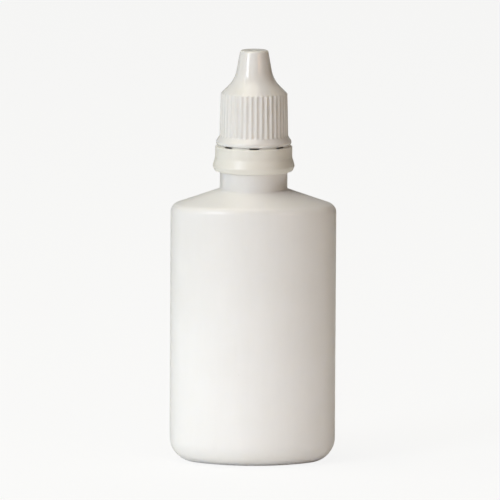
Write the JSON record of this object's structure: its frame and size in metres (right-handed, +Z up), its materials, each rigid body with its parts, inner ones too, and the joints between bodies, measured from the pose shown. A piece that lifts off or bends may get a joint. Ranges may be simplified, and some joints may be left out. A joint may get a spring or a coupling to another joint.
{
  "type": "dropper bottle",
  "caption": "Flat oval plastic squeeze bottle with a threaded neck, a press-in dropper plug, a tamper-evident ring and a fluted screw cap with a tall nose.",
  "frame": {"origin": "centre of the flat rim that the bottle stands on", "axes": "+Z up along the neck and thread axis, +X along the wide side, the wide front faces -Y"},
  "size_m": [0.042, 0.027, 0.105],
  "materials": {
    "bottle": "satin white polyethylene",
    "plug": "satin natural polyethylene",
    "ring": "white moulded plastic",
    "cap": "white moulded plastic"
  },
  "bodies": {
    "bottle": {"bottle": "bottle", "dropper_plug": "plug"},
    "tamper_ring": {"tamper_ring": "ring"},
    "cap": {"cap": "cap"}
  },
  "joints": [
    {"name": "cap_turn", "type": "hinge", "parent": "bottle", "child": "tamper_ring", "pos_m": [0, 0, 0.08], "axis": [0, 0, 1], "range_deg": [0, 3240]},
    {"name": "cap_rise", "type": "slide", "parent": "tamper_ring", "child": "cap", "axis": [0, 0, 1], "range_m": [0, 0.027]}
  ],
  "couplings": [
    {"joint": "cap_rise", "follows": "cap_turn", "m_per_rad": 0.00047746}
  ]
}
